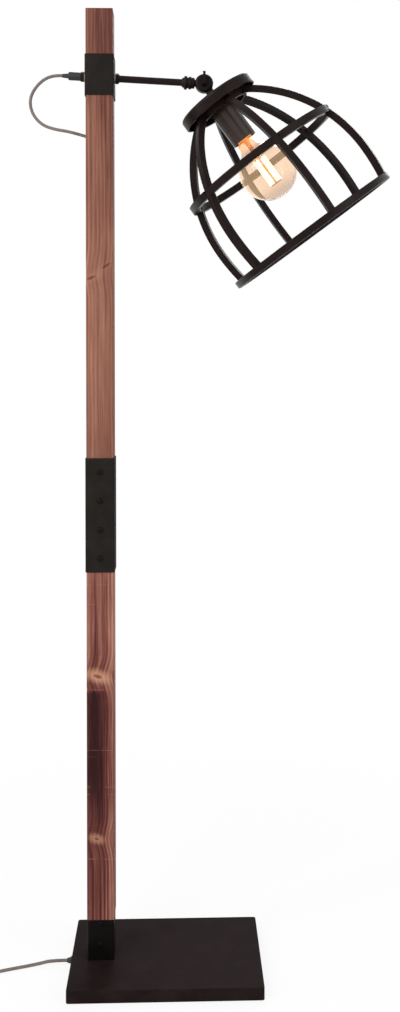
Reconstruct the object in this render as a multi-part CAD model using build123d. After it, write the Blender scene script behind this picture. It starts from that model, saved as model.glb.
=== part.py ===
from build123d import *

import os
from math import atan2, ceil, cos, degrees, pi, radians, sin, sqrt, tan

# Floor lamp: a square wooden post on a flat steel base carries a short arm, and a barred
# cage shade with a large globe bulb tilts on a knuckle at the arm's end.
# Frame: origin at the centre of the base's underside, +X from the post towards the shade,
# -Y the side that the screws are on, +Z up. Lengths are in millimetres, angles in degrees.

# ---- Base ----
base_width = 300.0
base_depth = 200.0
base_height = 20.0
base_sheet = 2.0
base_corner = 4.0
base_edge = 1.2
pad_thickness = 2.0
pad_proud = 1.0  # the pad stands this far below the cover's rim
bolt_shank = 3.0
bolt_head = 5.5
bolt_head_height = 4.0
bolt_spacing = 26.0

# ---- Post ----
post_inset = 47.0  # post's centre from the base's left edge
post_width = 43.0
post_round = 1.5
post_bore = 7.0
lamp_height = 1524.0
joint_height = 723.0  # where the two halves of the post meet
shoe_width = 41.5
shoe_wall = 2.0
shoe_floor = 4.0
shoe_height = 64.0
shoe_screw_drop = 6.0  # upper shoe screw below the shoe's rim
shoe_screw_pitch = 33.0
sleeve_wall = 1.5
joint_sleeve_length = 180.0
joint_screw_pitch = 45.3
top_sleeve_length = 65.0
screw_head = 4.2
screw_head_height = 2.4
screw_shank = 2.0
screw_length = 16.0

# ---- Arm ----
arm_drop = 104.8  # of the arm's axis below the post's top, where it crosses the post's axis
arm_droop = 3.0
arm_reach = 166.5  # from the post's axis to the knuckle, along the arm
arm_radius = 5.5
arm_wall = 1.2
washer_radius = 8.5
washer_thickness = 1.2
back_nut_flats = 14.0
back_nut_length = 6.0
front_nut_flats = 15.0
front_nut_length = 6.5
gland_radius = 6.5
gland_length = 19.6
gland_wall = 1.4
relief_length = 10.3
relief_root = 4.0

# ---- Collar, from its mouth to the knuckle ----
mouth_radius = 6.8
mouth_length = 3.6
big_bead_radius = 10.9
big_bead_length = 5.2
groove_length = 2.0
small_bead_radius = 10.0
small_bead_length = 4.8
waist_radius = 8.6
waist_length = 5.0

# ---- Knuckle ----
knuckle_radius = 14.6
knuckle_half = 8.5  # thickness of one half
knuckle_gap = 0.3  # between the two halves
knuckle_dome = 4.0
arm_stem_length = 24.0  # from the hinge axis to the end of the tube
neck_radius = 7.0
neck_length = 28.0  # from the hinge axis to the canopy
pivot_radius = 3.0
pivot_boss = 5.5
blade_thickness = 4.0
blade_height = 16.5
blade_width = 8.0
pivot_nut_radius = 6.0
pivot_nut_thickness = 3.5

# ---- Shade ----
head_tilt = 36.2  # of the shade's axis from straight down
canopy_radius = 66.0
canopy_height = 18.0
canopy_sheet = 1.5
canopy_crown = 5.0  # radius between its top and its side
canopy_lip = 2.5
hub_radius = 46.0
hub_wall = 6.0
hub_plate = 3.0
hub_height = 11.0
hub_drop = 15.0  # hub's top below the canopy's top
bar_count = 6
bar_first = 23.0  # first bar's azimuth, from the shade's high side towards -Y
bar_width = 10.8
bar_thickness = 11.4
bar_edge = 1.0
bar_girth = 151.7  # outer radius of the bars at their widest
bar_girth_depth = 236.5  # below the hinge axis, as is the next one
cage_depth = 298.4
bar_upper_curve = 237.0  # radius of a bar's outer face above the girth, and below it
bar_lower_curve = 340.0
bottom_ring_radius = 149.0
bottom_ring_height = 11.4
mid_ring_depth = 153.5
mid_ring_radius = 137.0
mid_ring_height = 12.0
ring_thickness = 11.0

# ---- Lampholder ----
nipple_radius = 5.0
nipple_bore = 3.3
nipple_sunk = 10.0  # in the knuckle's neck
neck_nut_radius = 8.0
holder_radius = 21.0
holder_wall = 1.5
holder_plate = 3.0
holder_cap_length = 14.0
holder_length = 65.0
insert_length = 44.0
shell_radius = 13.9
shell_wall = 0.5
shell_length = 24.0
contact_radius = 4.0
contact_thickness = 1.6

# ---- Bulb ----
bulb_clearance = 0.1
bulb_length = 135.7  # tip to crown
globe_radius = 47.0
glass_wall = 0.9
glass_neck_radius = 17.0
glass_neck_curve = 16.0
glass_foot_radius = 12.4
cap_length = 24.5
cap_tip_radius = 4.6
cap_tip_height = 1.6
stem_foot_radius = 11.0
stem_radius = 3.6
stem_length = 44.0
rod_radius = 1.3
crown_radius = 10.0
crown_wire = 0.6
filament_count = 6
filament_radius = 1.1
filament_length = 46.0

# ---- Cord ----
cord_radius = 2.5
cord_exit_height = 9.0  # of the cord where it leaves the base
cord_bend = 14.0
post_exit_drop = 94.2  # of the hole in the post's left face, below the arm's axis
post_exit_slope = 17.0
post_exit_bend = 18.0
post_exit_hole = 4.5
grommet_flange = 6.5
grommet_flange_thickness = 1.5
grommet_neck = 4.8
grommet_inside = 14.0
grommet_relief = 8.0
grommet_tip = 3.3

# ---- Foot switch, on the floor beside the lamp ----
switch_gap = 242.0  # from the base's left edge to the switch's middle
switch_y = 20.0
switch_length = 66.0
switch_width = 30.0
switch_split = 6.0  # height of the seam
switch_height = 17.0
switch_wall = 2.0
switch_round = 4.0
button_radius = 10.0
button_flange = 2.0
button_stands = 3.5
button_travel = 2.5

# ---- Coil and plug ----
coil_gap = 32.0  # from the switch's end to the coil's middle, along Y
coil_outer = 41.5
coil_turns = 4  # in each of its two layers
coil_step = 5.6  # from turn to turn and from layer to layer
plug_width = 35.0
plug_thickness = 13.6
plug_length = 36.0
plug_nose = 26.0
plug_relief = 20.0
plug_relief_root = 5.0
pin_radius = 2.0
pin_length = 19.0
pin_spacing = 18.6

# ---- Fits ----
snug = 0.1  # between pieces that are pushed together
easy = 0.2  # between pieces with play
running = 0.05  # between a pin and the bore that turns on it
clear = 0.3  # between pieces that move past each other

# ---- Places that follow ----
post_x = -base_width / 2 + post_inset
shoe_top = base_height + shoe_height
pad_top = pad_thickness
arm_height = lamp_height - arm_drop
post_exit_x = post_x - post_width / 2
post_exit_z = arm_height - post_exit_drop
post_turn_z = post_exit_z - post_width / 2 * tan(radians(post_exit_slope))
cable_stop = knuckle_radius + 1.0  # the cable is shown up to here on both sides of the hinge
hinge_x = post_x + arm_reach * cos(radians(arm_droop))
hinge_z = arm_height - arm_reach * sin(radians(arm_droop))
hub_top = neck_length + hub_drop
holder_top = hub_top + hub_plate
shell_top = holder_top + holder_length - holder_wall - shell_length - 3.0
bulb_tip = shell_top + contact_thickness + clear
glass_foot = bulb_tip + cap_length - 8.0
globe_depth = bulb_tip + bulb_length - globe_radius
switch_x = -base_width / 2 - switch_gap
switch_inlet = switch_y - switch_length / 2 + switch_wall
switch_outlet = switch_y + switch_length / 2 - switch_wall
coil_x = switch_x + coil_outer
coil_y = switch_y + switch_length / 2 + coil_gap

arm_frame = Plane(
    origin=(hinge_x, 0, hinge_z),
    x_dir=(sin(radians(arm_droop)), 0, cos(radians(arm_droop))),
    z_dir=(cos(radians(arm_droop)), 0, -sin(radians(arm_droop))),
)
head_frame = Plane(
    origin=(hinge_x, 0, hinge_z),
    x_dir=(cos(radians(head_tilt)), 0, sin(radians(head_tilt))),
    z_dir=(sin(radians(head_tilt)), 0, -cos(radians(head_tilt))),
)


# ---- Shapes used more than once ----


def turned(outline, rounds=()):
    """Turn an outline of (radius, height) corners about Z; rounds pairs a corner with a radius."""
    face = make_face(Polyline(*outline, close=True))
    for corner, radius in rounds:
        vertex = face.vertices().sort_by_distance((*corner, 0))[0]
        face = fillet(vertex, radius)
    return revolve(Plane.XZ * face, Axis.Z)


def pipe(outer, inner, low, high):
    """A round pipe along Z."""
    return turned([(inner, low), (outer, low), (outer, high), (inner, high)])


def rod(radius, low, high):
    """A round rod along Z."""
    return Pos(0, 0, low) * extrude(Circle(radius), high - low)


def block(width, depth, low, high, corner=0.0):
    """A block along Z with rounded upright corners."""
    outline = RectangleRounded(width, depth, corner) if corner else Rectangle(width, depth)
    return Pos(0, 0, low) * extrude(outline, high - low)


def hexagon(flats, low, high, nose=0.8):
    """A hexagon nut's outside along Z, its corners turned off, with a nose at the high end."""
    across = flats / sqrt(3)
    body = Pos(0, 0, low) * extrude(RegularPolygon(across, 6), high - low)
    edge = [(0, low), (across - 0.8, low), (across, low + 0.8), (across, high - nose),
            (across - nose, high), (0, high)]
    return body & turned(edge)


def screw(head_height=screw_head_height):
    """A pan-head screw along Z: its shank goes up from z = 0 and its head hangs below."""
    head = turned(
        [(0, -head_height), (screw_head, -head_height), (screw_head, 0), (0, 0)],
        [((screw_head, -head_height), head_height * 0.7)],
    )
    return head + rod(screw_shank, 0, screw_length)


def screw_places(y, heights):
    """Places on a face that looks along -Y, with each screw's shank going in along +Y."""
    return [Pos(post_x, y, z) * Rot(-90, 0, 0) for z in heights]


def pilot_holes(y, heights):
    """Holes that the screws of screw_places sit in."""
    hole = rod(screw_shank + snug / 2, -screw_head_height, screw_length + easy)
    return Compound([place * hole for place in screw_places(y, heights)])


def rounded_route(name, points):
    """Straight runs joined by tangent arcs, each as large as its two runs allow."""
    spots = [Vector(*point) for point in points]
    radii = []
    for before, here, after in zip(spots, spots[1:], spots[2:]):
        turn = radians((here - before).get_angle(after - here))
        run = min((here - before).length, (after - here).length)
        radii.append(0.45 * run / tan(turn / 2))
    print(f"{name}: bend radii", [round(radius, 1) for radius in radii])
    return FilletPolyline(*points, radius=radii)


def tube_along(name, path):
    """A cord along a path, with its volume set against its section times its length."""
    start = Plane(origin=path @ 0, z_dir=path % 0)
    tube = sweep(start * Circle(cord_radius), path=path)
    expected = pi * cord_radius**2 * path.length
    print(f"{name}: {path.length:.1f} mm long, volume {tube.volume / expected:.4f} of expected")
    return tube


# ---- Base and shoe ----


def bolt_places():
    return [Pos(post_x, side * bolt_spacing / 2, 0) for side in (-1, 1)]


def make_base():
    inner_width = base_width - 2 * base_sheet
    inner_depth = base_depth - 2 * base_sheet
    inner_corner = base_corner - base_sheet
    cover = block(base_width, base_depth, pad_proud, base_height, base_corner)
    top_edges = cover.faces().sort_by(Axis.Z)[-1].edges()
    cover = fillet(top_edges, base_edge)
    cover -= block(inner_width, inner_depth, 0, base_height - base_sheet, inner_corner)
    wall_hole = Pos(-base_width / 2, 0, cord_exit_height) * Rot(0, 90, 0) * rod(
        grommet_neck + snug, -base_sheet * 2, base_sheet * 2
    )
    cable_hole = Pos(post_x, 0, 0) * rod(post_bore, 0, base_height * 2)
    bolt_holes = Compound([place * rod(bolt_shank + easy, 0, base_height * 2)
                           for place in bolt_places()])
    cover = cover - wall_hole - cable_hole - bolt_holes

    ballast_top = base_height - base_sheet - easy
    ballast = block(inner_width - 2 * easy, inner_depth - 2 * easy, pad_top, ballast_top,
                    inner_corner)
    slot_end = post_x + post_bore
    slot_start = -base_width / 2
    slot = Pos((slot_start + slot_end) / 2, 0, 0) * block(
        slot_end - slot_start, 2 * post_bore, 0, base_height
    )
    head_wells = Compound([place * rod(bolt_head + easy * 2, 0, pad_top + bolt_head_height)
                           for place in bolt_places()])
    ballast = ballast - slot - head_wells - bolt_holes

    pad = block(inner_width - 2 * easy, inner_depth - 2 * easy, 0, pad_top, inner_corner)
    return {"base_cover": cover, "base_ballast": ballast, "base_pad": pad}


def make_base_bolts():
    seat = pad_top + bolt_head_height
    bolt = rod(bolt_head, pad_top + easy, seat) + rod(bolt_shank, seat, base_height + shoe_floor)
    return {"base_bolts": Compound([place * bolt for place in bolt_places()])}


def shoe_screw_heights():
    first = shoe_top - shoe_screw_drop
    return [first, first - shoe_screw_pitch]


def make_shoe():
    inside = shoe_width - 2 * shoe_wall
    shoe = block(shoe_width, shoe_width, base_height, shoe_top, shoe_wall)
    shoe -= block(inside, inside, base_height + shoe_floor, shoe_top, shoe_wall / 4)
    shoe -= rod(post_bore, base_height, base_height + shoe_floor)
    shoe = Pos(post_x, 0, 0) * shoe
    for place in bolt_places():
        shoe -= place * rod(bolt_shank + running, base_height, base_height + shoe_floor)
    face = -shoe_width / 2
    shoe -= pilot_holes(face, shoe_screw_heights())
    screws = [place * screw() for place in screw_places(face, shoe_screw_heights())]
    return {"post_shoe": shoe, "shoe_screws": Compound(screws)}


# ---- Post, sleeves and the cable inside ----


def joint_screw_heights():
    return [joint_height + (i - 1.5) * joint_screw_pitch for i in range(4)]


def post_cable_path():
    """The cable's way inside: along the base, up the post and out at its left face."""
    return FilletPolyline(
        (-base_width / 2 - grommet_relief, 0, cord_exit_height),
        (post_x, 0, cord_exit_height),
        (post_x, 0, post_turn_z),
        (post_exit_x, 0, post_exit_z),
        radius=[cord_bend, post_exit_bend],
    )


def post_halves():
    """The two halves of the post, bored for the cable, the arm and the screws."""
    tenon = shoe_width - 2 * shoe_wall - 2 * easy
    lower = block(post_width, post_width, shoe_top, joint_height, post_round)
    lower += block(tenon, tenon, base_height + shoe_floor, shoe_top)
    upper = block(post_width, post_width, joint_height, lamp_height, post_round)
    lower = Pos(post_x, 0, 0) * (lower - rod(post_bore, 0, joint_height))
    bore_top = post_turn_z + cord_radius + easy
    upper = Pos(post_x, 0, 0) * (upper - rod(post_bore, joint_height, bore_top))
    lower -= pilot_holes(-shoe_width / 2, shoe_screw_heights())
    face = -post_width / 2 - snug - sleeve_wall
    lower -= pilot_holes(face, joint_screw_heights())
    upper -= pilot_holes(face, joint_screw_heights())
    path = post_cable_path()
    mouth = Plane(origin=path @ 1, z_dir=path % 1)
    exit_hole = mouth * rod(post_exit_hole, -post_width / 2, cord_radius * 2)
    return lower, upper - arm_hole() - exit_hole


def arm_hole():
    reach = post_width
    return arm_frame * rod(arm_radius + easy, -arm_reach - reach, -arm_reach + reach)


def sleeve(length, middle):
    outside = post_width + 2 * (snug + sleeve_wall)
    inside = post_width + 2 * snug
    low = middle - length / 2
    high = middle + length / 2
    shape = block(outside, outside, low, high, post_round + sleeve_wall)
    shape -= block(inside, inside, low, high, post_round)
    return Pos(post_x, 0, 0) * shape


def make_post():
    lower, upper = post_halves()
    face = -post_width / 2 - snug - sleeve_wall
    joint_sleeve = sleeve(joint_sleeve_length, joint_height)
    joint_sleeve -= pilot_holes(face, joint_screw_heights())
    screws = [place * screw() for place in screw_places(face, joint_screw_heights())]
    return {
        "lower_post": lower,
        "upper_post": upper,
        "joint_sleeve": joint_sleeve,
        "joint_screws": Compound(screws),
        "top_sleeve": sleeve(top_sleeve_length, arm_height) - arm_hole(),
        "post_cable": tube_along("post cable", post_cable_path()),
    }


def make_grommet():
    """Rubber bush in the base's left wall, tapered on both sides. Turned along Z."""
    bore = cord_radius + snug
    flange = grommet_flange_thickness
    outline = [
        (bore, -grommet_inside),
        (grommet_tip, -grommet_inside),
        (grommet_neck, -base_sheet - flange - 1),
        (grommet_flange, -base_sheet - flange),
        (grommet_flange, -base_sheet),
        (grommet_neck, -base_sheet),
        (grommet_neck, 0),
        (grommet_flange, 0),
        (grommet_flange, flange),
        (grommet_neck, flange + 1),
        (grommet_tip, grommet_relief),
        (bore, grommet_relief),
    ]
    shape = Pos(-base_width / 2, 0, cord_exit_height) * Rot(0, -90, 0) * turned(outline)
    return {"cord_grommet": shape}


# ---- Arm ----


def arm_seat():
    """Distance along the arm from the post's axis to the washers on the top sleeve."""
    sleeve_half = post_width / 2 + snug + sleeve_wall
    lean = washer_radius * sin(radians(arm_droop))  # the arm isn't square to the sleeve
    return (sleeve_half + lean) / cos(radians(arm_droop))


def make_arm():
    """Arm tube through the post, with its nuts and the cable gland. Built along the arm."""
    seat = arm_seat()
    bore = arm_radius + snug
    post = -arm_reach

    washers = [
        pipe(washer_radius, bore, post - seat - washer_thickness, post - seat),
        pipe(washer_radius, bore, post + seat, post + seat + washer_thickness),
    ]
    back_low = post - seat - washer_thickness - back_nut_length
    back_nut = hexagon(back_nut_flats, back_low, back_low + back_nut_length) - rod(
        bore, back_low, post)
    front_low = post + seat + washer_thickness
    front_high = front_low + front_nut_length
    front_nut = hexagon(front_nut_flats, front_low, front_high, front_nut_length * 0.4)
    front_nut -= rod(bore, front_low, front_high)

    gland_high = back_low
    gland_low = gland_high - gland_length
    tube_low = gland_high - gland_length / 2
    gland_bore = gland_radius - gland_wall
    gland = turned(
        [(cord_radius + snug, gland_low), (gland_radius, gland_low), (gland_radius, gland_high),
         (bore, gland_high), (bore, tube_low), (gland_bore, tube_low),
         (gland_bore, gland_low + gland_wall), (cord_radius + snug, gland_low + gland_wall)],
        [((gland_radius, gland_low), gland_wall)],
    )
    relief_low = gland_low - relief_length
    relief = turned([
        (cord_radius + snug, relief_low),
        (cord_radius + 3 * snug, relief_low),
        (relief_root, gland_low),
        (cord_radius + snug, gland_low),
    ])
    tube = pipe(arm_radius, arm_radius - arm_wall, tube_low, -arm_stem_length)
    cable = rod(cord_radius, relief_low, -cable_stop)
    shapes = {
        "arm_tube": tube,
        "arm_washers": Compound(washers),
        "arm_front_nut": front_nut,
        "arm_back_nut": back_nut,
        "gland_body": gland,
        "gland_relief": relief,
        "arm_cable": cable,
        "arm_collar": make_collar(),
    }
    return {name: arm_frame * shape for name, shape in shapes.items()}


def make_collar():
    """Turned collar with two beads, from the arm tube up to the knuckle."""
    bore = arm_radius + snug
    end = -knuckle_radius - 2 * clear
    small_end = end - waist_length
    small_start = small_end - small_bead_length
    big_end = small_start - groove_length
    big_start = big_end - big_bead_length
    mouth = big_start - mouth_length
    outline = [
        (bore, mouth), (mouth_radius, mouth), (waist_radius, big_start),
        (big_bead_radius, big_start), (big_bead_radius, big_end), (waist_radius, big_end),
        (waist_radius, small_start), (small_bead_radius, small_start),
        (small_bead_radius, small_end), (waist_radius, small_end), (waist_radius, end),
        (bore, end),
    ]
    rounds = [
        ((mouth_radius, mouth), (mouth_radius - bore) / 2),
        ((big_bead_radius, big_start), 2.0), ((big_bead_radius, big_end), 2.0),
        ((small_bead_radius, small_start), 1.3), ((small_bead_radius, small_end), 1.3),
        ((waist_radius, end), 0.8),
    ]
    return turned(outline, rounds)


# ---- Knuckle ----


def knuckle_disc():
    """One domed half of the knuckle along Z, its flat face at z = 0, bored for the pivot."""
    disc = turned(
        [(pivot_radius + running, 0), (knuckle_radius, 0), (knuckle_radius, knuckle_half),
         (pivot_radius + running, knuckle_half)],
        [((knuckle_radius, knuckle_half), knuckle_dome)],
    )
    return Pos(0, 0, knuckle_gap / 2) * disc


def other_half(side):
    """The space that the opposite half needs: side is -1 at the front, 1 at the back."""
    space = rod(knuckle_radius + clear, -knuckle_gap / 2, knuckle_half * 2)
    return Rot(-90 * side, 0, 0) * space


def make_knuckle():
    hinge = Pos(hinge_x, 0, hinge_z)
    front = hinge * Rot(90, 0, 0) * knuckle_disc()
    back = hinge * Rot(-90, 0, 0) * knuckle_disc()
    pivot_hole = hinge * Rot(90, 0, 0) * rod(
        pivot_radius + running, -knuckle_half * 2, knuckle_half * 2)

    arm_stem = arm_frame * rod(arm_radius, -arm_stem_length, -knuckle_radius / 2)
    arm_stem -= hinge * other_half(1)
    arm_half = front + arm_stem - pivot_hole
    arm_half -= arm_frame * rod(cord_radius + easy, -arm_stem_length, -cable_stop)

    neck = head_frame * rod(neck_radius, knuckle_radius / 2, neck_length)
    neck -= hinge * other_half(-1)
    head_half = back + neck - pivot_hole
    head_half -= head_frame * rod(
        nipple_radius + snug, neck_length - nipple_sunk, neck_length)
    head_half -= head_frame * rod(cord_radius + easy, cable_stop, neck_length)

    back_face = knuckle_gap / 2 + knuckle_half
    pivot_nut = hinge * Rot(-90, 0, 0) * pipe(
        pivot_nut_radius, pivot_radius + running, back_face, back_face + pivot_nut_thickness)
    return {
        "arm_knuckle": arm_half,
        "head_knuckle": head_half,
        "pivot_nut": pivot_nut,
        "thumbscrew": hinge * make_thumbscrew(),
    }


def make_thumbscrew():
    """Pivot screw along Y through both halves, with an upright blade to turn it by."""
    face = knuckle_gap / 2 + knuckle_half
    shank_end = face + pivot_nut_thickness + 1.0
    boss_end = face + clear + 3.0
    blade_end = boss_end + blade_width
    shape = rod(pivot_radius, -shank_end, boss_end) + rod(pivot_boss, face + clear, boss_end)
    shape = Rot(90, 0, 0) * shape
    low = -pivot_boss
    blade = RectangleRounded(blade_width + 2, blade_height - low, blade_width * 0.45)
    blade = extrude(Plane.YZ * blade, blade_thickness / 2, both=True)
    middle_y = -(boss_end + blade_end) / 2 + 1
    return shape + Pos(0, middle_y, (blade_height + low) / 2) * blade


# ---- Canopy and cage ----


def make_canopy():
    """Shallow spun cap with an open underside and a rolled lip. Turned along the head's axis."""
    top = neck_length
    low = top + canopy_height
    inner = canopy_radius - canopy_sheet
    hole = nipple_radius + snug
    lip = canopy_radius - canopy_lip
    outline = [
        (hole, top), (canopy_radius, top), (canopy_radius, low), (lip, low),
        (lip, low - canopy_lip), (inner, low - canopy_lip), (inner, top + canopy_sheet),
        (hole, top + canopy_sheet),
    ]
    rounds = [
        ((canopy_radius, top), canopy_crown),
        ((inner, top + canopy_sheet), canopy_crown - canopy_sheet),
        ((canopy_radius, low), canopy_lip / 2),
    ]
    return turned(outline, rounds)


def make_hub():
    """Ring that the bars are welded to, with a plate that is clamped on the nipple."""
    inner = hub_radius - hub_wall
    low = hub_top + hub_height
    hole = nipple_radius + snug
    outline = [
        (hole, hub_top), (hub_radius, hub_top), (hub_radius, low), (inner, low),
        (inner, hub_top + hub_plate), (hole, hub_top + hub_plate),
    ]
    return turned(outline, [((hub_radius, low), bar_edge), ((inner, low), bar_edge)])


def bar_side(depth_low, depth_high):
    """Side view of a bar between its inner and outer arcs, as a face in (depth, radius)."""
    upper = (bar_girth_depth, bar_girth - bar_upper_curve)
    lower = (bar_girth_depth, bar_girth - bar_lower_curve)

    def strip(centre, outer_radius, start, end):
        inner_radius = outer_radius - bar_thickness
        outer_arc = CenterArc(centre, outer_radius, start, end - start)
        inner_arc = CenterArc(centre, inner_radius, start, end - start)
        sides = Line(outer_arc @ 0, inner_arc @ 0) + Line(outer_arc @ 1, inner_arc @ 1)
        return make_face(outer_arc + inner_arc + sides)

    def angle_at(centre, radius, depth):
        return degrees(atan2(sqrt(radius**2 - (depth - centre[0]) ** 2), depth - centre[0]))

    top_angle = angle_at(upper, bar_upper_curve, depth_low)
    end_angle = angle_at(lower, bar_lower_curve - bar_thickness, depth_high + bar_thickness)
    side = strip(upper, bar_upper_curve, 90, top_angle)
    side += strip(lower, bar_lower_curve, end_angle, 90)
    return side


def make_bar():
    """One bar of the cage at azimuth 0, from the hub's wall to the bottom ring's top face."""
    ring_top = cage_depth - bottom_ring_height
    side = bar_side(neck_length, ring_top)
    # (depth, radius) of the side view becomes (z, x) of the head's frame
    view = Plane(origin=(0, 0, 0), x_dir=(0, 0, 1), z_dir=(0, 1, 0))
    bar = extrude(view * side, bar_width / 2, both=True)
    long_edges = [edge for edge in bar.edges().filter_by(GeomType.CIRCLE)]
    bar = fillet(long_edges, bar_edge)
    bar -= rod(hub_radius, 0, cage_depth)
    return bar & rod(bar_girth * 1.2, hub_top, ring_top)


def make_cage():
    bars = [Rot(0, 0, bar_first + i * 360 / bar_count) * make_bar() for i in range(bar_count)]
    low = mid_ring_depth - mid_ring_height / 2
    high = mid_ring_depth + mid_ring_height / 2
    mid_ring = pipe(mid_ring_radius, mid_ring_radius - ring_thickness, low, high)
    gap = Pos(bar_girth, 0, low) * extrude(Rectangle(bar_girth, bar_width), high - low)
    for i in range(bar_count):
        mid_ring -= Rot(0, 0, bar_first + i * 360 / bar_count) * gap
    ring_top = cage_depth - bottom_ring_height
    inner = bottom_ring_radius - ring_thickness
    corners = [(inner, ring_top), (bottom_ring_radius, ring_top),
               (bottom_ring_radius, cage_depth), (inner, cage_depth)]
    rounds = [(corners[1], bar_edge), (corners[2], 3 * bar_edge), (corners[3], bar_edge)]
    shapes = {"canopy": make_canopy(), "cage_hub": make_hub()}
    for i, bar in enumerate(bars):
        shapes[f"cage_bar_{i + 1}"] = bar
    shapes["cage_mid_ring"] = Compound(mid_ring.solids())
    shapes["cage_bottom_ring"] = turned(corners, rounds)
    return {name: head_frame * shape for name, shape in shapes.items()}


# ---- Lampholder ----


def make_holder():
    """Lampholder on the nipple below the hub, and what hangs the shade on the knuckle."""
    nipple_end = holder_top + holder_plate
    nipple = pipe(nipple_radius, nipple_bore, neck_length - nipple_sunk, nipple_end)
    neck_nut = pipe(neck_nut_radius, nipple_radius + snug, neck_length + canopy_sheet, hub_top)

    cap_low = holder_top + holder_cap_length
    cap_inner = holder_radius - 2 * holder_wall - snug
    cap = turned(
        [(nipple_radius + snug, holder_top), (holder_radius, holder_top),
         (holder_radius, cap_low), (cap_inner, cap_low), (cap_inner, holder_top + holder_plate),
         (nipple_radius + snug, holder_top + holder_plate)],
        [((holder_radius, holder_top), holder_wall * 2)],
    )
    skirt_low = holder_top + holder_length
    skirt = turned(
        [(holder_radius - holder_wall, cap_low), (holder_radius, cap_low),
         (holder_radius, skirt_low), (holder_radius - holder_wall, skirt_low)],
        [((holder_radius, skirt_low), holder_wall / 3)],
    )
    insert_radius = holder_radius - holder_wall - snug
    insert_low = cap_low + insert_length
    insert = turned([
        (cord_radius + easy, cap_low), (insert_radius, cap_low), (insert_radius, insert_low),
        (shell_radius + snug, insert_low), (shell_radius + snug, shell_top), (0, shell_top),
        (0, cap_low + holder_plate), (cord_radius + easy, cap_low + holder_plate),
    ])
    shell = pipe(shell_radius, shell_radius - shell_wall, shell_top, shell_top + shell_length)
    contact = rod(contact_radius, shell_top, shell_top + contact_thickness)
    cable = rod(cord_radius, cable_stop, cap_low + holder_plate)
    shapes = {
        "neck_nipple": nipple,
        "neck_nut": neck_nut,
        "holder_cap": cap,
        "holder_skirt": skirt,
        "holder_insert": insert,
        "screw_shell": shell,
        "centre_contact": contact,
        "head_cable": cable,
    }
    return {name: head_frame * shape for name, shape in shapes.items()}


# ---- Bulb ----


def glass_outline(inset):
    """Half outline of the glass from its foot to its crown, drawn in by inset."""
    globe = globe_radius - inset
    curve = glass_neck_curve + inset
    neck = glass_neck_radius - inset
    foot = glass_foot_radius - inset
    shoulder = bulb_tip + cap_length + 1.0
    rise = shoulder + 7.0
    # the neck's hollow curve touches the globe and runs into the straight neck
    across = neck + curve
    down = sqrt((globe + curve) ** 2 - across**2)
    slope = atan2(-down, across)
    touch = (globe * cos(slope), globe_depth + globe * sin(slope))
    dip_angle = (slope + pi) / 2 + pi / 2
    centre = (across, globe_depth - down)
    dip = (centre[0] + curve * cos(dip_angle), centre[1] + curve * sin(dip_angle))
    bulge_angle = (slope + pi / 2) / 2
    bulge = (globe * cos(bulge_angle), globe_depth + globe * sin(bulge_angle))
    lines = Polyline((foot, glass_foot), (foot, shoulder), (neck, rise), (neck, centre[1]))
    lines += ThreePointArc((neck, centre[1]), dip, touch)
    return lines + ThreePointArc(touch, bulge, (0, globe_depth + globe))


def make_glass():
    outer = glass_outline(0)
    inner = glass_outline(glass_wall)
    foot = Line((glass_foot_radius, glass_foot), (glass_foot_radius - glass_wall, glass_foot))
    crown = globe_depth + globe_radius
    top = Line((0, crown - glass_wall), (0, crown))
    return revolve(Plane.XZ * make_face(outer + inner + foot + top), Axis.Z)


def make_cap():
    radius = shell_radius - shell_wall - bulb_clearance
    low = bulb_tip + cap_length
    skirt = bulb_tip + cap_tip_height + 3.0
    inner = glass_foot_radius + snug
    return turned(
        [(0, bulb_tip), (cap_tip_radius, bulb_tip), (cap_tip_radius, bulb_tip + cap_tip_height),
         (radius - 3, bulb_tip + cap_tip_height), (radius, skirt), (radius, low), (inner, low),
         (inner, glass_foot), (0, glass_foot)],
        [((cap_tip_radius, bulb_tip), cap_tip_height / 2)],
    )


def crown(depth):
    """A wire ring with spokes, which holds one end of the filaments."""
    ring = Rot(0, 0, 90 / filament_count) * Torus(crown_radius, crown_wire)
    for i in range(filament_count):
        spoke = Rot(0, 90, 0) * rod(crown_wire, 0, crown_radius + crown_wire)
        ring += Rot(0, 0, i * 360 / filament_count) * spoke
    return Pos(0, 0, depth) * ring


def make_bulb():
    foot = glass_foot
    first = foot + stem_length + 4.0
    last = first + filament_length + 2 * crown_wire
    stem = turned([
        (0, foot), (stem_foot_radius, foot), (stem_foot_radius, foot + 1.2),
        (stem_radius + 1.4, foot + 12), (stem_radius, foot + 22),
        (stem_radius, foot + stem_length), (0, foot + stem_length),
    ])
    stem += rod(rod_radius, foot + stem_length - 1, last)
    stem += crown(first) + crown(last)
    stick = rod(filament_radius, first + crown_wire, last - crown_wire)
    sticks = [
        Rot(0, 0, i * 360 / filament_count) * Pos(crown_radius, 0, 0) * stick
        for i in range(filament_count)
    ]
    shapes = {
        "bulb_glass": make_glass(),
        "bulb_cap": make_cap(),
        "bulb_stem": stem,
        "bulb_filaments": Compound(sticks),
    }
    return {name: head_frame * shape for name, shape in shapes.items()}


# ---- Cords, foot switch and plug ----


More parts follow.
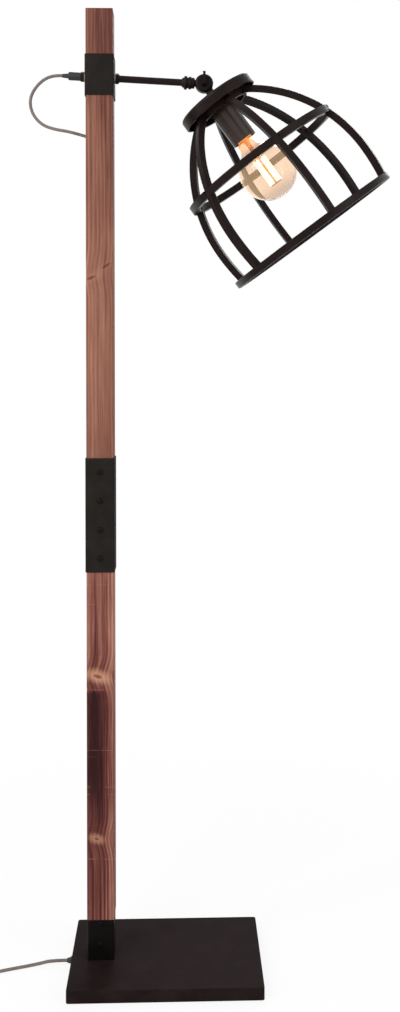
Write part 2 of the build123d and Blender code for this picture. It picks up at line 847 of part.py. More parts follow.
def upper_cord_route():
    """From the gland's relief, out to the left and back into the post's left face."""
    past_post = arm_seat() + washer_thickness + back_nut_length + gland_length + relief_length
    start = arm_frame.origin - arm_frame.z_dir * (arm_reach + past_post)
    onward = start - arm_frame.z_dir * 15.9
    drop = (start.Z - post_exit_z) / 97.3
    return [
        tuple(start),
        tuple(onward),
        (start.X - 36.8, 0.5, start.Z - 11.3 * drop),
        (start.X - 51.8, 2.0, start.Z - 33.8 * drop),
        (start.X - 49.9, 3.0, start.Z - 57.6 * drop),
        (start.X - 34.7, 2.5, start.Z - 77.1 * drop),
        (start.X - 14.0, 1.0, start.Z - 85.4 * drop),
        (start.X + 13.4, 0.0, start.Z - 89.5 * drop),
        (post_exit_x, 0.0, post_exit_z),
    ]


def floor_cord_route():
    """From the grommet's tip, down to the floor and round to the foot switch."""
    edge = -base_width / 2
    rest = cord_radius
    return [
        (edge - grommet_relief, 0.0, cord_exit_height),
        (edge - 34.0, 0.0, cord_exit_height),
        (edge - 52.0, 2.0, rest + 1.0),
        (edge - 72.0, -3.0, rest),
        (edge - 102.0, -12.0, rest),
        (edge - 140.0, -25.0, rest),
        (edge - 172.0, -46.0, rest),
        (switch_x + 42.3, switch_inlet - 59.8, rest),
        (switch_x + 17.3, switch_inlet - 58.6, rest),
        (switch_x, switch_inlet - 40.5, rest),
        (switch_x, switch_inlet - 17.0, switch_split),
        (switch_x, switch_inlet, switch_split),
    ]


def biarc(start, start_dir, end, end_dir):
    """Two tangent arcs from start to end that leave and arrive along the given directions."""
    across = end - start
    both = start_dir + end_dir
    flat = 2 * (1 - start_dir.dot(end_dir))
    reach = across.dot(both)
    step = (-reach + sqrt(reach**2 + flat * across.dot(across))) / flat
    middle = (start + end + (start_dir - end_dir) * step) * 0.5
    first = Edge.make_tangent_arc(start, start_dir, middle)
    return [first, Edge.make_tangent_arc(middle, first % 1, end)]


def coil_place(turn):
    """Point of the coil's line after so many turns: in on the floor, out on top of itself."""
    inner = coil_outer - coil_turns * coil_step
    over = turn - coil_turns
    if over <= 0:
        radius, height = inner - over * coil_step, 0.0
    elif over < 0.5:
        # the turn in which it climbs goes on inwards and comes back at the same steady rate
        radius = inner - coil_step / (2 * pi) * sin(2 * pi * over)
        height = coil_step * (1 - cos(2 * pi * over)) / 2
    else:
        radius, height = inner + (over - 0.5) * coil_step, coil_step
    angle = pi - 2 * pi * turn
    return Vector(coil_x + radius * cos(angle), coil_y + radius * sin(angle),
                  cord_radius + height)


def coil_heading(turn):
    """Direction of the coil's line there."""
    nudge = 1e-4
    return (coil_place(turn + nudge) - coil_place(turn - nudge)).normalized()


def coil_path():
    """From the foot switch's outlet, through the coil's two layers, to the plug."""
    total = 2 * coil_turns + 0.5
    outlet = Vector(switch_x, switch_outlet, switch_split)
    north = Vector(0, 1, 0)
    straight = outlet + north * (switch_wall + 2 * cord_radius)
    edges = [Edge.make_line(outlet, straight)]
    edges += biarc(straight, north, coil_place(0), coil_heading(0))
    quarters = round(total * 4)
    for i in range(quarters):
        here, there = i / 4, (i + 1) / 4
        edges += biarc(coil_place(here), coil_heading(here),
                       coil_place(there), coil_heading(there))
    last = coil_place(total)
    south = Vector(0, -1, 0)
    before_plug = Vector(last.X + 1.0, last.Y - 26.0, plug_thickness / 2)
    edges += biarc(last, coil_heading(total), before_plug, south)
    edges.append(Edge.make_line(before_plug, before_plug + south * 2 * cord_radius))
    return Wire(edges)


def print_coil_gap():
    """The least gap between two turns of the coil, measured on points along its line."""
    total = 2 * coil_turns + 0.5
    per_turn = 60
    spots = [coil_place(i / per_turn) for i in range(ceil(total * per_turn) + 1)]
    least = min(
        (spots[i] - spots[j]).length
        for i in range(len(spots))
        for j in range(i + per_turn // 2, len(spots))
    )
    print(f"coil: least gap to itself {least - 2 * cord_radius:.2f} mm")


def switch_frame():
    """Along the foot switch: X towards the plug, Z up from the floor."""
    return Plane(origin=(switch_x, switch_y, 0), x_dir=(0, 1, 0), z_dir=(0, 0, 1))


def make_switch():
    end_round = switch_width / 2 - 0.5
    outer = RectangleRounded(switch_length, switch_width, end_round)
    inner = RectangleRounded(switch_length - 2 * switch_wall, switch_width - 2 * switch_wall,
                             end_round - switch_wall)
    ways = Rot(0, 90, 0) * rod(cord_radius + snug, -switch_length, switch_length)
    ways = Pos(0, 0, switch_split) * ways

    base = extrude(outer, switch_split)
    base = fillet(base.faces().sort_by(Axis.Z)[0].edges(), switch_wall / 2)
    base -= Pos(0, 0, switch_wall) * extrude(inner, switch_split)
    cover = Pos(0, 0, switch_split) * extrude(outer, switch_height - switch_split)
    cover = fillet(cover.faces().sort_by(Axis.Z)[-1].edges(), switch_round)
    roof = switch_height - switch_wall
    cover -= Pos(0, 0, switch_split) * extrude(inner, roof - switch_split)
    cover -= rod(button_radius + clear, switch_split, switch_height * 2)

    flange_top = roof - clear
    flange_low = flange_top - button_flange
    button_top = switch_height + button_stands
    button = turned(
        [(0, flange_low), (button_radius + button_flange, flange_low),
         (button_radius + button_flange, flange_top), (button_radius, flange_top),
         (button_radius, button_top), (0, button_top)],
        [((button_radius, button_top), button_stands / 2)],
    )
    block_top = flange_low - button_travel - clear
    contacts = block(2 * button_radius, button_radius * 1.6, switch_wall, block_top)
    shapes = {
        "switch_base": base - ways,
        "switch_cover": cover - ways,
        "switch_button": button,
        "switch_contacts": contacts,
    }
    return {name: switch_frame() * shape for name, shape in shapes.items()}


def make_plug(cord_end):
    """Flat two-pin plug lying on the floor. Built along X, its cord end at x = 0."""
    half = plug_width / 2
    nose = plug_nose / 2
    tail = plug_relief_root
    start = plug_relief
    outline = Polyline(
        (start, -tail), (start + 9, -half), (start + plug_length - 9, -half),
        (start + plug_length, -nose), (start + plug_length, nose),
        (start + plug_length - 9, half), (start + 9, half), (start, tail), close=True,
    )
    body = extrude(make_face(outline), plug_thickness / 2, both=True)
    body = fillet(body.edges().filter_by(Axis.Z), 2.0)
    body = chamfer(body.faces().filter_by(Axis.Z).edges(), 0.8)
    relief = turned([(0, 0), (cord_radius + 0.6, 0), (plug_relief_root, start + 2), (0, start + 2)])
    body += Rot(0, 90, 0) * relief
    pin = turned(
        [(0, 0), (pin_radius, 0), (pin_radius, pin_length), (0, pin_length)],
        [((pin_radius, pin_length), pin_radius * 0.6)],
    )
    pins = [Pos(start + plug_length, side * pin_spacing / 2, 0) * Rot(0, 90, 0) * pin
            for side in (-1, 1)]
    place = Plane(origin=cord_end, x_dir=(0, -1, 0), z_dir=(0, 0, 1))
    return {"plug_body": place * body, "plug_pins": place * Compound(pins)}


def make_cords():
    path = coil_path()
    print_coil_gap()
    upper = rounded_route("upper cord", upper_cord_route())
    floor = rounded_route("floor cord", floor_cord_route())
    shapes = {
        "upper_cord": tube_along("upper cord", upper),
        "floor_cord": tube_along("floor cord", floor),
        "coiled_cord": tube_along("coiled cord", path),
    }
    shapes.update(make_plug(tuple(path @ 1)))
    return shapes


def make_lamp():
    lamp = {}
    for make in (make_base, make_base_bolts, make_shoe, make_post, make_grommet, make_arm,
                 make_knuckle, make_cage, make_holder, make_bulb, make_switch, make_cords):
        lamp.update(make())
    return lamp


os.makedirs("parts", exist_ok=True)
lamp = make_lamp()
for name, shape in lamp.items():
    export_step(shape, f"parts/{name}.step")
print(len(lamp), "nodes")
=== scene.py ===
import math

import bmesh
import bpy
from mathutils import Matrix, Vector


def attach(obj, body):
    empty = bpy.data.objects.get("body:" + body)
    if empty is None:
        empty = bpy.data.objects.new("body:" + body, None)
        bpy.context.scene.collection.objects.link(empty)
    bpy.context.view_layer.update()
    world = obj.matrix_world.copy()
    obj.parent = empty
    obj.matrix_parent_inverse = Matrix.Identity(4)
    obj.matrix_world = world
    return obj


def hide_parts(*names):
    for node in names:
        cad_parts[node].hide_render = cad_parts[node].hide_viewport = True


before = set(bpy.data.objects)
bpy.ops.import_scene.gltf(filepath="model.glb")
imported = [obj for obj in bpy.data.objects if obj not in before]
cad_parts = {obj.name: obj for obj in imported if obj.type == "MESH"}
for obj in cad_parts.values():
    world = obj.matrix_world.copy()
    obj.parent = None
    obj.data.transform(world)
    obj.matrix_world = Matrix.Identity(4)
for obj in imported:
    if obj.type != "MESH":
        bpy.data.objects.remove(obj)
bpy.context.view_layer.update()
mm = 0.001

# Places and sizes of the model that the finishes are laid on.
hinge = (63.272 * mm, 0, 1410.486 * mm)
shade_tilt = math.radians(36.2)
post_x = -103 * mm
post_half_width = 21.5 * mm


# ---- Shader nodes as expressions ----


class Signal:
    """A shader number. Working out an expression on it adds the Math nodes."""

    def __init__(self, finish, socket):
        self.finish = finish
        self.socket = socket

    def math(self, operation, *others, clamp=False):
        settings = {"operation": operation, "use_clamp": clamp}
        values = dict(enumerate((self, *others)))
        return self.finish.node("ShaderNodeMath", settings, values).out()

    def __add__(self, other):
        return self.math("ADD", other)

    def __sub__(self, other):
        return self.math("SUBTRACT", other)

    def __rsub__(self, other):
        settings = {"operation": "SUBTRACT"}
        return self.finish.node("ShaderNodeMath", settings, {0: other, 1: self}).out()

    def __mul__(self, other):
        return self.math("MULTIPLY", other)

    def __truediv__(self, other):
        return self.math("DIVIDE", other)

    def __pow__(self, other):
        return self.math("POWER", other)

    __radd__ = __add__
    __rmul__ = __mul__

    def clamp(self):
        return self.math("ADD", 0.0, clamp=True)

    def step(self, low, high):
        """0 below low, 1 above high, and smooth between them."""
        settings = {"interpolation_type": "SMOOTHSTEP"}
        values = {"Value": self, "From Min": low, "From Max": high}
        return self.finish.node("ShaderNodeMapRange", settings, values).out()


class Added:
    """A node that a finish has added."""

    def __init__(self, finish, node):
        self.finish = finish
        self.node = node

    def out(self, name=0):
        return Signal(self.finish, self.node.outputs[name])


class Finish:
    """A material under construction."""

    def __init__(self, name, **shader):
        self.material = bpy.data.materials.new(name)
        self.material.use_nodes = True
        self.tree = self.material.node_tree
        self.tree.nodes.clear()
        self.surface = self.node("ShaderNodeBsdfPrincipled", {}, {})
        self.output = self.node("ShaderNodeOutputMaterial", {}, {"Surface": self.surface.out()})
        self.set(**shader)

    def node(self, kind, settings, values):
        node = self.tree.nodes.new(kind)
        for key, value in settings.items():
            if key == "stops":
                self.stops(node.color_ramp, value)
            else:
                setattr(node, key, value)
        for key, value in values.items():
            if isinstance(value, Signal):
                self.tree.links.new(value.socket, node.inputs[key])
            else:
                node.inputs[key].default_value = value
        return Added(self, node)

    def stops(self, ramp, stops):
        while len(ramp.elements) < len(stops):
            ramp.elements.new(1.0)
        for element, (position, color) in zip(ramp.elements, stops):
            element.position = position
            element.color = (*color, 1.0)

    def set(self, **values):
        """Set or link the shader's sockets: base_color=..., roughness=..., and so on."""
        for key, value in values.items():
            socket = self.surface.node.inputs[key.replace("_", " ").title().replace("Ior", "IOR")]
            if isinstance(value, Signal):
                self.tree.links.new(value.socket, socket)
            elif isinstance(value, tuple) and len(value) == 3:
                socket.default_value = (*value, 1.0)
            else:
                socket.default_value = value

    def place(self, centre=(0, 0, 0), turn=(0, 0, 0), scale=(1, 1, 1)):
        """Object coordinates about a centre, turned and scaled."""
        coordinates = self.node("ShaderNodeTexCoord", {}, {}).out("Object")
        settings = {"vector_type": "TEXTURE"}
        inverse = tuple(1 / s for s in scale)
        values = {"Vector": coordinates, "Location": centre, "Rotation": turn, "Scale": inverse}
        return self.node("ShaderNodeMapping", settings, values).out()

    def axes(self, place):
        split = self.node("ShaderNodeSeparateXYZ", {}, {"Vector": place})
        return [split.out(i) for i in range(3)]

    def vector(self, x, y, z):
        return self.node("ShaderNodeCombineXYZ", {}, {0: x, 1: y, 2: z}).out()

    def noise(self, place, scale, detail, roughness=0.5):
        values = {"Vector": place, "Scale": scale, "Detail": detail, "Roughness": roughness}
        return self.node("ShaderNodeTexNoise", {}, values).out("Fac")

    def mix(self, factor, first, second):
        """Blend two colours."""
        settings = {"data_type": "RGBA"}
        colors = [c if isinstance(c, Signal) else (*c, 1.0) for c in (first, second)]
        values = {0: factor, 6: colors[0], 7: colors[1]}
        return self.node("ShaderNodeMix", settings, values).out(2)

    def ramp(self, factor, *stops):
        return self.node("ShaderNodeValToRGB", {"stops": stops}, {"Fac": factor}).out("Color")

    def bump(self, height, strength, distance):
        values = {"Height": height, "Strength": strength, "Distance": distance}
        return self.node("ShaderNodeBump", {}, values).out()


# ---- Finishes ----


def powder_coat(name, color, roughness, grain, gloss):
    """Satin powder coat: fine orange peel, and slightly lighter clouds."""
    finish = Finish(name, specular_ior_level=gloss)
    place = finish.place()
    cloud = finish.noise(place, 35.0, 4.0)
    peel = finish.noise(place, grain, 2.0)
    lighter = tuple(c * 1.35 + 0.0007 for c in color)
    finish.set(
        base_color=finish.mix(cloud.step(0.35, 0.75), color, lighter),
        roughness=roughness + (cloud - 0.5) * 0.2 + (peel - 0.5) * 0.1,
        normal=finish.bump(peel, 0.25, 0.0004),
    )
    return finish.material


def bare_metal(name, color, roughness):
    """Plated steel or brass with fine turning marks."""
    finish = Finish(name, metallic=1.0)
    place = finish.place()
    cloud = finish.noise(place, 120.0, 3.0)
    marks = finish.noise(place, 2500.0, 2.0)
    darker = tuple(c * 0.7 for c in color)
    finish.set(
        base_color=finish.mix(cloud, darker, color),
        roughness=roughness + (cloud - 0.5) * 0.15 + (marks - 0.5) * 0.12,
        normal=finish.bump(marks, 0.12, 0.0002),
    )
    return finish.material


def moulded(name, color, roughness, grain=1600.0):
    """Moulded plastic or rubber with a fine spark-eroded grain."""
    finish = Finish(name, specular_ior_level=0.4)
    place = finish.place()
    cloud = finish.noise(place, 60.0, 3.0)
    skin = finish.noise(place, grain, 3.0)
    lighter = tuple(c * 1.4 + 0.004 for c in color)
    finish.set(
        base_color=finish.mix(cloud, color, lighter),
        roughness=roughness + (skin - 0.5) * 0.2,
        normal=finish.bump(skin, 0.2, 0.0003),
    )
    return finish.material


def rough_casting(name, color):
    finish = Finish(name, roughness=0.85, metallic=0.3)
    place = finish.place()
    grain = finish.noise(place, 300.0, 5.0, 0.65)
    finish.set(
        base_color=finish.mix(grain, tuple(c * 0.6 for c in color), color),
        normal=finish.bump(grain, 0.6, 0.001),
    )
    return finish.material


def glazed(name, color):
    finish = Finish(name, roughness=0.2, coat_roughness=0.08)
    place = finish.place()
    cloud = finish.noise(place, 80.0, 3.0)
    finish.set(
        base_color=finish.mix(cloud, tuple(c * 0.9 for c in color), color),
        coat_weight=0.6 + cloud * 0.3,
    )
    return finish.material


def along_bulb(finish):
    """Metres along the bulb's axis from the hinge."""
    turn = (0, math.pi - shade_tilt, 0)
    return finish.axes(finish.place(centre=hinge, turn=turn))[2]


def lit_glass(name, tint, glow):
    """Amber bulb glass with a painted glow: light beside the sticks, orange at the neck."""
    finish = Finish(name, transmission_weight=1.0, ior=1.2, emission_strength=1.0)
    ripple = finish.noise(finish.place(), 25.0, 1.0)
    along = along_bulb(finish)
    glow_rises, glow_falls, neck_ends = (0.13, 0.16), (0.19, 0.215), (0.12, 0.133)
    # Painted orange glow at the neck: the glass gives off this light itself.
    painted_neck_glow = (0.2, 0.07, 0.014)
    bright = along.step(*glow_rises) * (1 - along.step(*glow_falls))
    neck = 1 - along.step(*neck_ends)
    # Painted glow on the glass beside the sticks, by height along the bulb.
    color = finish.mix(bright, (0.0, 0.0, 0.0), glow)
    finish.set(
        base_color=finish.mix(ripple.step(0.3, 0.7), tint, tuple(c * 0.94 for c in tint)),
        roughness=ripple * 0.04,
        normal=finish.bump(ripple, 0.02, 0.001),
        emission_color=finish.mix(neck, color, painted_neck_glow),
    )
    return finish.material


def glowing(name, color, light, strength):
    """Lit filament sticks: a warm coating that shines."""
    finish = Finish(name, base_color=color, roughness=0.5, emission_strength=strength)
    grain = finish.noise(finish.place(), 700.0, 2.0)
    warmth = (1.0, 0.85, 0.6)
    warm = tuple(c * k for c, k in zip(light, warmth))
    finish.set(emission_color=finish.mix(grain, warm, light))
    return finish.material


def braided(name, length, dark, light):
    """Textile cover of a round cord, woven of two families of yarns that wind opposite ways."""
    finish = Finish(name, specular_ior_level=0.2, sheen_weight=0.3, sheen_roughness=0.5)
    uv = finish.node("ShaderNodeTexCoord", {}, {}).out("UV")
    along, around, _ = finish.axes(uv)
    yarn_pitch, yarns_around = 1.6 * mm, 10
    rows = along * (length / yarn_pitch) * math.pi
    turns = around * yarns_around * math.pi
    one_way = (rows + turns).math("SINE")
    other_way = (rows - turns).math("SINE")
    weave = (one_way * other_way).math("ABSOLUTE") ** 0.6
    place = finish.place()
    fuzz = finish.noise(place, 4200.0, 2.0)
    blotch = finish.noise(place, 90.0, 2.0)
    shade = (weave * 0.6 + fuzz * 0.35 + (blotch - 0.5) * 0.5).clamp()
    finish.set(
        base_color=finish.mix(shade, dark, light),
        roughness=0.75 + fuzz * 0.2,
        normal=finish.bump(weave * 0.8 + fuzz * 0.3, 0.6, 0.0004),
    )
    return finish.material


def knot_shape(finish, x, y, z, centre, size, lean):
    """0 at a knot's centre and 1 on its outline, which leans across the grain of the front."""
    across = (x - centre[0]) / size[0]
    up = (z - centre[1] + (x - centre[0]) * lean) / size[1]
    knot_depth = 4 * mm
    inward = (y + post_half_width) / knot_depth
    return (across * across + up * up + inward * inward).math("SQRT")


def stained_wood(name, colors, knots, fade, dusk=None, saw_marks=()):
    """Rough-sawn softwood, stained: streaks along the post that bend round its knots.

    The colors are the stain's three tones, then a knot's pale halo and its heart. A knot is
    (centre, size, lean, halo). The tone changes by the last number of fade between its two
    heights. dusk is the lowest and highest height of a darker stretch, and the saw marks'
    heights are in millimetres.
    """
    shadow, middle, light, pale, heart = colors
    fade_low, fade_high, fade_change = fade
    wander, bend, bend_reach = 6 * mm, 12 * mm, 22 * mm
    grain_pitch = 6.1 * mm
    finish = Finish(name, specular_ior_level=0.08)
    x, y, z = finish.axes(finish.place(centre=(post_x, 0, 0)))
    drift = finish.noise(finish.place(scale=(6, 6, 2.2)), 1.0, 3.0) - 0.5
    push = drift * wander
    for centre, _, _, halo in knots:
        near = ((z - centre[1]) / bend_reach) ** 2 * -1
        push = push + near.math("EXPONENT") * halo * bend
    across = x + y * 0.55 + push

    ring = finish.vector(across * 220, y * 40, z * 2.4)
    broad = finish.noise(finish.vector(across * 60, y * 25, z * 0.9), 1.0, 2.0)
    rings = finish.noise(ring, 1.0, 2.0, 0.6)
    line = ((across * (2 * math.pi / grain_pitch) + drift * 5).math("SINE") * 0.5 + 0.5) ** 2
    fibre = finish.noise(finish.vector(across * 900, y * 700, z * 14), 1.0, 3.0, 0.6)
    pores = finish.noise(finish.vector(x * 2600, y * 2600, z * 60), 1.0, 2.0)
    patches = finish.noise(finish.vector(x * 30, y * 30, z * 5), 1.0, 2.0)

    tone = (broad * 0.4 + rings * 0.6 + line * patches * 0.17 + (fibre - 0.5) * 0.55
            + (patches - 0.5) * 0.45 + z.step(fade_low, fade_high) * fade_change - 0.05)
    if dusk:
        tone = tone - dusk_mask(finish, x, z, patches, fibre, dusk) * (0.2 + line * 0.14)
    color = finish.ramp(tone.clamp(), (0.22, shadow), (0.5, middle), (0.8, light))
    for centre, size, lean, halo in knots:
        outline = knot_shape(finish, x, y, z, centre, size, lean)
        ragged = outline + (fibre - 0.5) * 1.6 + (patches - 0.5) * 2.0 - line * 0.6
        color = finish.mix((1 - ragged.step(0.2, 5.0)) * halo, color, pale)
        core = 1 - (outline + (fibre - 0.5) * 0.7).step(0.6, 1.4)
        color = finish.mix(core * 0.75, color, heart)

    marks = saw_lines(finish, x, y, z, saw_marks)
    color = finish.mix(marks * 0.4, color, light)
    height = fibre * 0.5 + line * 0.3 + pores * 0.25 + marks * 0.6
    finish.set(
        base_color=color,
        roughness=0.52 + (1 - fibre) * 0.25,
        normal=finish.bump(height, 0.35, 0.0006),
    )
    return finish.material


def dusk_mask(finish, x, z, patches, fibre, span):
    """The darker stretch at the left of the lower post, between the span's two heights."""
    low, high = span
    edge = (patches - 0.5) * 0.06 + (fibre - 0.5) * 0.03
    below = 1 - (z + edge * 0.2).step(high - 0.005, high + 0.005)
    above = (z + edge).step(low - 0.03, low + 0.1)
    left = 1 - (x + edge * 0.45).step(-0.01, 0.022)
    return below * above * left


def saw_lines(finish, x, y, z, heights):
    """Fine pale scratches across the grain, left by the saw."""
    breaks = finish.noise(finish.vector(x * 60, y * 60, z * 40), 1.0, 2.0).step(0.45, 0.6)
    fine = finish.noise(finish.vector(x * 9, y * 9, z * 800), 1.0, 2.0).step(0.66, 0.74)
    scratch_edges = (0.2 * mm, 0.7 * mm)
    lines = fine * 0.5
    for height in heights:
        offset = (z - height * mm + x * 0.02).math("ABSOLUTE")
        lines = lines + (1 - offset.step(*scratch_edges))
    return (lines * breaks).clamp()


black_coat = powder_coat(
    "black_coat", (0.009, 0.0045, 0.004), roughness=0.34, grain=900.0, gloss=0.1)
base_coat = powder_coat(
    "base_coat", (0.0142, 0.0086, 0.0086), roughness=0.42, grain=700.0, gloss=0.014)
sleeve_coat = powder_coat(
    "sleeve_coat", (0.0145, 0.0122, 0.0108), roughness=0.68, grain=800.0, gloss=0.03)
shoe_coat = powder_coat(
    "shoe_coat", (0.003, 0.002, 0.0018), roughness=0.5, grain=800.0, gloss=0.08)
holder_coat = powder_coat(
    "holder_coat", (0.024, 0.0125, 0.009), roughness=0.24, grain=1400.0, gloss=0.4)
screw_coat = powder_coat(
    "screw_coat", (0.0022, 0.0018, 0.0016), roughness=0.34, grain=2000.0, gloss=0.12)
nickel = bare_metal("nickel", (0.5, 0.44, 0.41), 0.3)
plated_steel = bare_metal("plated_steel", (0.5, 0.5, 0.49), 0.35)
brass = bare_metal("brass", (0.6, 0.4, 0.16), 0.3)
cap_metal = bare_metal("cap_metal", (0.65, 0.62, 0.57), 0.3)
plug_nickel = bare_metal("plug_nickel", (0.7, 0.68, 0.63), 0.2)
black_rubber = moulded("black_rubber", (0.012, 0.011, 0.011), 0.6)
pad_rubber = moulded("pad_rubber", (0.015, 0.015, 0.015), 0.75, 600.0)
switch_plastic = moulded("switch_plastic", (0.012, 0.012, 0.012), 0.38)
button_plastic = moulded("button_plastic", (0.02, 0.02, 0.02), 0.32)
cast_iron = rough_casting("cast_iron", (0.09, 0.09, 0.09))
ceramic = glazed("ceramic", (0.75, 0.7, 0.62))
# The last colour is the glass's painted glow beside the lit sticks.
bulb_glass = lit_glass("bulb_glass", (0.83, 0.71, 0.625), (0.1, 0.075, 0.045))
filament_glow = glowing("filament_glow", (0.9, 0.6, 0.2), (1.0, 0.87, 0.6), 4.0)
wire_metal = bare_metal("wire_metal", (0.75, 0.45, 0.25), 0.35)

upper_wood = stained_wood(
    "upper_wood",
    colors=((0.1, 0.034, 0.026), (0.235, 0.1, 0.068), (0.4, 0.2, 0.135), (0.42, 0.21, 0.13),
            (0.1, 0.025, 0.016)),
    knots=[((-0.013, 1.098), (0.0065, 0.0024), -0.35, 0.3),
           ((0.0105, 1.117), (0.0065, 0.0024), -0.6, 0.15)],
    fade=(1.05, 1.5, -0.16),
)
lower_wood = stained_wood(
    "lower_wood",
    colors=((0.028, 0.0075, 0.0085), (0.14, 0.041, 0.033), (0.4, 0.19, 0.135),
            (0.6, 0.31, 0.19), (0.11, 0.024, 0.018)),
    knots=[((-0.004, 0.4685), (0.0062, 0.003), 0.25, 0.7),
           ((-0.006, 0.212), (0.0034, 0.0022), 0.2, 0.5)],
    fade=(0.4, 0.55, 0.17),
    dusk=(0.235, 0.445),
    saw_marks=(613, 589, 582, 499, 447, 352, 294, 282, 180),
)

finish_of = {
    black_coat: """arm_tube arm_front_nut arm_back_nut arm_collar arm_knuckle head_knuckle
        thumbscrew canopy cage_hub cage_bar_1 cage_bar_2 cage_bar_3 cage_bar_4 cage_bar_5
        cage_bar_6 cage_mid_ring cage_bottom_ring""",
    base_coat: "base_cover",
    sleeve_coat: "joint_sleeve top_sleeve",
    shoe_coat: "post_shoe shoe_screws",
    holder_coat: "holder_cap holder_skirt",
    screw_coat: "joint_screws",
    nickel: "arm_washers",
    plated_steel: "base_bolts neck_nut pivot_nut",
    brass: "screw_shell centre_contact neck_nipple",
    cap_metal: "bulb_cap",
    plug_nickel: "plug_pins",
    black_rubber: "cord_grommet gland_relief gland_body plug_body post_cable arm_cable head_cable",
    pad_rubber: "base_pad",
    switch_plastic: "switch_base switch_cover switch_contacts",
    button_plastic: "switch_button",
    cast_iron: "base_ballast",
    ceramic: "holder_insert",
    bulb_glass: "bulb_glass",
    wire_metal: "bulb_stem",
    filament_glow: "bulb_filaments",
    upper_wood: "upper_post",
    lower_wood: "lower_post",
}
for material, names in finish_of.items():
    for name in names.split():
        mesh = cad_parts[name].data
        mesh.materials.clear()
        mesh.materials.append(material)


# ---- Cords, in millimetres ----

cord_radius = 2.5


def cord_line(name, points, body):
    """A round cord along one smooth curve with these control points."""
    curve = bpy.data.curves.new(name, "CURVE")
    curve.dimensions = "3D"
    spline = curve.splines.new("NURBS")
    spline.points.add(len(points) - 1)
    for point, place in zip(spline.points, points):
        point.co = (*(Vector(place) * mm), 1.0)
        point.radius = cord_radius * mm
    spline.order_u = 3
    spline.use_endpoint_u = True
    curve.resolution_u = 8
    # The points' radius is the cord's own, so the bevel multiplies it by one.
    curve.bevel_depth = 1.0
    curve.bevel_resolution = 5
    curve.use_fill_caps = True
    piece = bpy.data.objects.new(name, curve)
    bpy.context.scene.collection.objects.link(piece)
    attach(piece, body)
    return piece


def coil_points(turns, outer, step, centre):
    """The coil's line, as in the model: in on the floor, out on top of itself."""
    inner = outer - turns * step
    points = []
    per_turn = 12
    for i in range(2 * turns * per_turn + per_turn // 2 + 1):
        turn = i / per_turn
        over = turn - turns
        if over <= 0:
            radius, height = inner - over * step, 0.0
        elif over < 0.5:
            radius = inner - step / (2 * math.pi) * math.sin(2 * math.pi * over)
            height = step * (1 - math.cos(2 * math.pi * over)) / 2
        else:
            radius, height = inner + (over - 0.5) * step, step
        angle = math.pi - 2 * math.pi * turn
        points.append((centre[0] + radius * math.cos(angle),
                       centre[1] + radius * math.sin(angle), cord_radius + height))
    return points


switch_x, switch_inlet, switch_outlet = -392.0, -11.0, 51.0
coil_outer, coil_turns, coil_step = 41.5, 4, 5.6
coil_centre = (switch_x + coil_outer, 85.0)

gland_end = (-163.6, 0.0, 1422.4)
upper_route = [
    gland_end, (-179.5, 0.0, 1423.2), (-200.4, 0.5, 1411.1), (-215.4, 2.0, 1388.6),
    (-213.5, 3.0, 1364.7), (-198.3, 2.5, 1345.2), (-177.6, 1.0, 1336.9),
    (-150.2, 0.0, 1332.8), (-124.5, 0.0, 1325.0),
]
floor_route = [
    (-158.0, 0.0, 9.0), (-184.0, 0.0, 9.0), (-202.0, 2.0, 3.5), (-222.0, -3.0, 2.5),
    (-252.0, -12.0, 2.5), (-290.0, -25.0, 2.5), (-322.0, -46.0, 2.5),
    (switch_x + 42.3, switch_inlet - 59.8, 2.5), (switch_x + 17.3, switch_inlet - 58.6, 2.5),
    (switch_x, switch_inlet - 40.5, 2.5), (switch_x, switch_inlet - 17.0, 6.0),
    (switch_x, switch_inlet, 6.0),
]
coil_end = (coil_centre[0] + coil_outer, coil_centre[1])
coil_route = [
    (switch_x, switch_outlet, 6.0), (switch_x, switch_outlet + 12.0, 5.4),
    *coil_points(coil_turns, coil_outer, coil_step, coil_centre)[1:-1],
    (coil_end[0], coil_end[1] - 4.0, 8.1), (coil_end[0] + 1.0, coil_end[1] - 20.0, 6.8),
    (coil_end[0] + 1.0, coil_end[1] - 36.0, 6.8),
]


def add_cord(name, points, node, exit, length):
    piece = cord_line(name, points, "stand")
    weave = braided(name + "_weave", length, (0.06, 0.045, 0.042), (0.3, 0.235, 0.22))
    piece.data.materials.append(weave)
    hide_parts(node)
    tuple(c * mm for c in exit)


add_cord("upper_loop", upper_route, "upper_cord", gland_end, 0.19)
add_cord("floor_lead", floor_route, "floor_cord", floor_route[0], 0.299)
add_cord("coiled_lead", coil_route, "coiled_cord", coil_route[0], 1.648)


# ---- Room, light and camera ----


def stage_material(name, color, lift):
    """Pale surface that the camera, gloss and glass see lifted towards white.

    The lift grows with the distance from the lamp, until the surface looks pure white.
    """
    squared_reach = (0.1, 1.2)
    finish = Finish(name, roughness=0.9)
    grain = finish.noise(finish.place(), 3.0, 2.0)
    finish.set(base_color=finish.mix(grain, tuple(c * 0.985 for c in color), color))
    path = finish.node("ShaderNodeLightPath", {}, {})
    seen = (path.out("Is Camera Ray") + path.out("Is Glossy Ray")
            + path.out("Is Transmission Ray")).clamp()
    x, y, _ = finish.axes(finish.place())
    far = (x * x + y * y).step(*squared_reach)
    lift = lift + far * (1 - lift)
    white = finish.node("ShaderNodeEmission", {}, {"Color": (1, 1, 1, 1), "Strength": 1.0})
    mixed = {0: seen * lift, 1: finish.surface.out(), 2: white.out()}
    blend = finish.node("ShaderNodeMixShader", {}, mixed)
    finish.tree.links.new(blend.node.outputs[0], finish.output.node.inputs["Surface"])
    return finish.material


def add_floor():
    form = bmesh.new()
    bmesh.ops.create_grid(form, x_segments=8, y_segments=8, size=6.0)
    mesh = bpy.data.meshes.new("floor")
    form.to_mesh(mesh)
    form.free()
    floor = bpy.data.objects.new("floor", mesh)
    bpy.context.scene.collection.objects.link(floor)
    mesh.materials.append(stage_material("pale_floor", (0.9, 0.9, 0.9), lift=0.86))


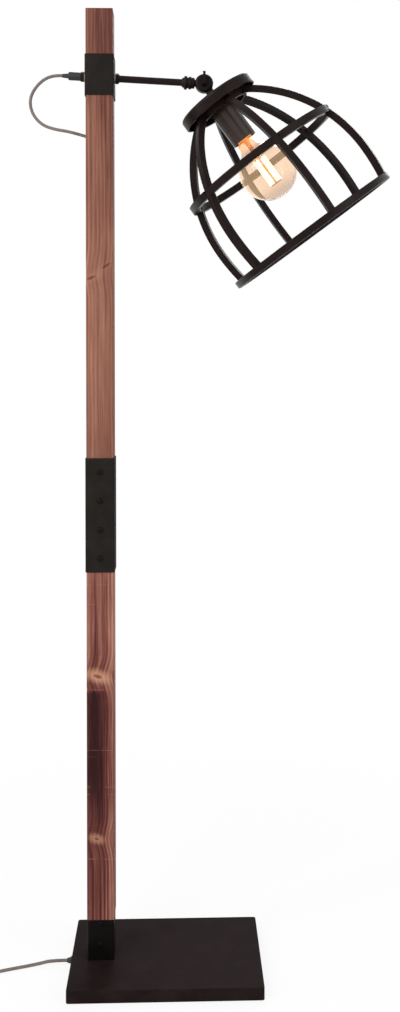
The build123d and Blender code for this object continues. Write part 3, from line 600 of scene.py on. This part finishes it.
def add_world():
    world = bpy.data.worlds.new("room")
    bpy.context.scene.world = world
    world.use_nodes = True
    nodes, links = world.node_tree.nodes, world.node_tree.links
    nodes.clear()
    path = nodes.new("ShaderNodeLightPath")
    strength = nodes.new("ShaderNodeMapRange")
    strength.inputs["To Min"].default_value = 1.0
    strength.inputs["To Max"].default_value = 0.5
    links.new(path.outputs["Is Diffuse Ray"], strength.inputs["Value"])
    background = nodes.new("ShaderNodeBackground")
    background.inputs["Color"].default_value = (1.0, 1.0, 1.0, 1.0)
    links.new(strength.outputs[0], background.inputs["Strength"])
    output = nodes.new("ShaderNodeOutputWorld")
    links.new(background.outputs[0], output.inputs["Surface"])


def add_lamp(name, place, target, size, power):
    light = bpy.data.lights.new(name, "AREA")
    light.shape = "RECTANGLE"
    light.size, light.size_y = size
    light.energy = power
    lamp = bpy.data.objects.new(name, light)
    lamp.location = place
    lamp.rotation_euler = (Vector(target) - Vector(place)).to_track_quat("-Z", "Y").to_euler()
    bpy.context.scene.collection.objects.link(lamp)


def add_camera():
    """The photograph's camera, level and framed by its shift. Its picture's sizes are in pixels."""
    picture_width, picture_height = 400, 1012
    focal_length = 1042.8
    centre_x, centre_y = 208.1, 354.3
    lens = bpy.data.cameras.new("camera")
    lens.sensor_fit = "VERTICAL"
    lens.sensor_height = 36.0
    lens.lens = lens.sensor_height * focal_length / picture_height
    lens.shift_x = (picture_width / 2 - centre_x) / picture_height
    lens.shift_y = (centre_y - picture_height / 2) / picture_height
    camera = bpy.data.objects.new("camera", lens)
    camera.location = (0.02297, -1.67186, 0.97679)
    camera.rotation_euler = (math.radians(90), math.radians(0.113), math.radians(-1.573))
    bpy.context.scene.collection.objects.link(camera)
    bpy.context.scene.camera = camera


add_floor()
add_world()
add_lamp("key", (-1.6, -2.2, 2.6), target=(0, 0, 0.8), size=(1.6, 1.6), power=46)
add_lamp("fill", (2.0, -1.8, 1.6), target=(0, 0, 0.8), size=(1.4, 2.0), power=22)
add_lamp("side", (-1.8, -0.9, 1.5), target=(0.15, 0, 1.3), size=(0.25, 1.6), power=14)
add_lamp("back", (0.6, 2.2, 2.4), target=(0, 0, 0.9), size=(1.6, 1.2), power=26)
add_camera()
bpy.context.scene.view_settings.view_transform = "Standard"
